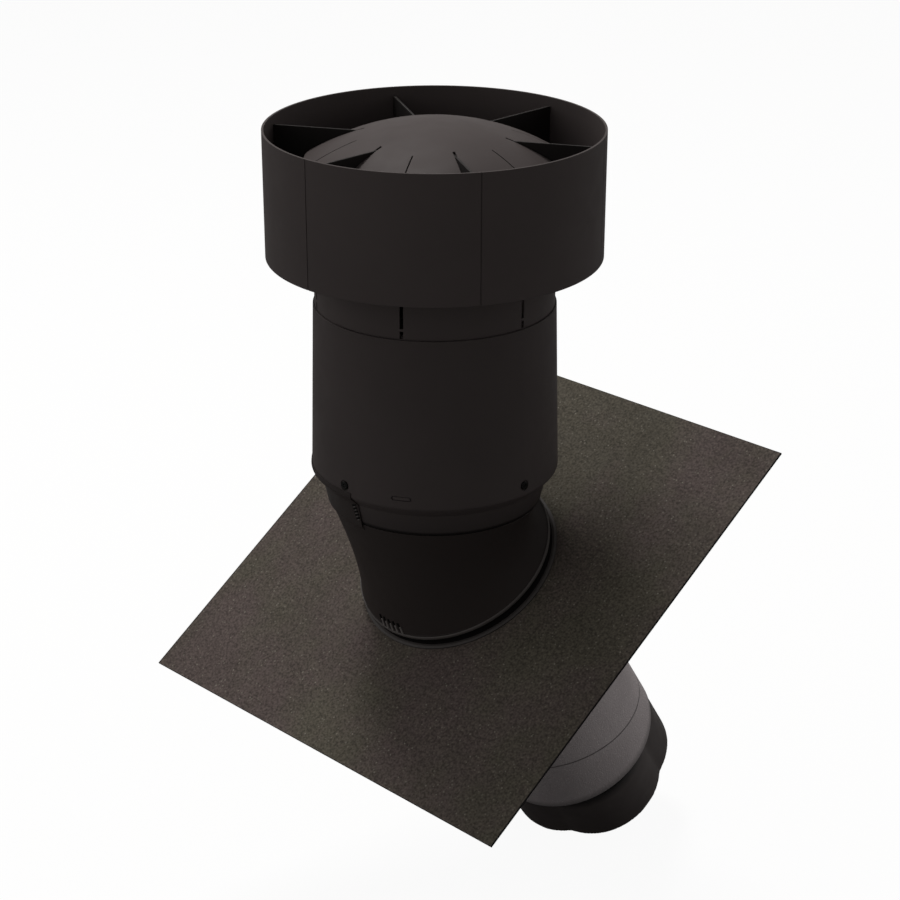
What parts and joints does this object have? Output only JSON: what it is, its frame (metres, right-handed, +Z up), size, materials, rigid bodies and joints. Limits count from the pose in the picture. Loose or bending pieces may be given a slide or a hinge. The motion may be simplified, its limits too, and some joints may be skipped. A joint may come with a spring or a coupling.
{
  "type": "roof vent pipe",
  "caption": "Insulated roof vent pipe with a ringed, domed outlet, a turning hood on a square flashing and a swivelling pipe end below the roof.",
  "frame": {"origin": "middle of the flashing plate's underside, on the axis of the pipe that goes through the roof", "axes": "+X along the eaves, +Y up the slope, +Z up along the upright pipe"},
  "size_m": [0.5, 0.5145, 0.8741],
  "materials": {
    "dark_plastic": "satin moulded plastic, warm near-black",
    "duct_plastic": "smooth black duct plastic",
    "grey_foam": "grey closed-cell foam with a fine grain",
    "black_rubber": "matt black rubber",
    "speckled_sheet": "brown-grey sheet with a fine pale speckle",
    "flange_plastic": "satin dark plastic",
    "screw_steel": "blackened screws"
  },
  "bodies": {
    "roof_base": {"flashing_plate": "speckled_sheet", "flange_ring": "flange_plastic", "rim_seal": "black_rubber", "roof_pipe": "grey_foam", "swivel_ring": "duct_plastic"},
    "upright": {"hood": "dark_plastic", "outer_casing": "dark_plastic", "casing_screws": "screw_steel", "base_spacer": "duct_plastic", "top_spacer": "duct_plastic", "upright_insulation": "grey_foam", "upright_duct": "duct_plastic", "duct_bend": "duct_plastic", "outlet_collar": "dark_plastic", "rain_dome": "dark_plastic", "dome_hub": "dark_plastic", "wind_ring": "dark_plastic", "fin_1": "dark_plastic", "fin_2": "dark_plastic", "fin_3": "dark_plastic", "fin_4": "dark_plastic", "fin_5": "dark_plastic", "fin_6": "dark_plastic"},
    "swivel_end": {"swivel_pipe": "grey_foam", "joint_gasket": "black_rubber", "end_spigot": "duct_plastic", "end_sleeve": "black_rubber"}
  },
  "joints": [
    {"name": "hood_turn", "type": "hinge", "parent": "roof_base", "child": "upright", "pos_m": [0, 0, 0], "axis": [0, -0.5446, 0.8387], "range_deg": [-7.2, 7.2]},
    {"name": "elbow_swivel", "type": "hinge", "parent": "roof_base", "child": "swivel_end", "pos_m": [0, 0.15005, -0.23105], "axis": [0, -0.309, 0.9511], "continuous": true}
  ]
}
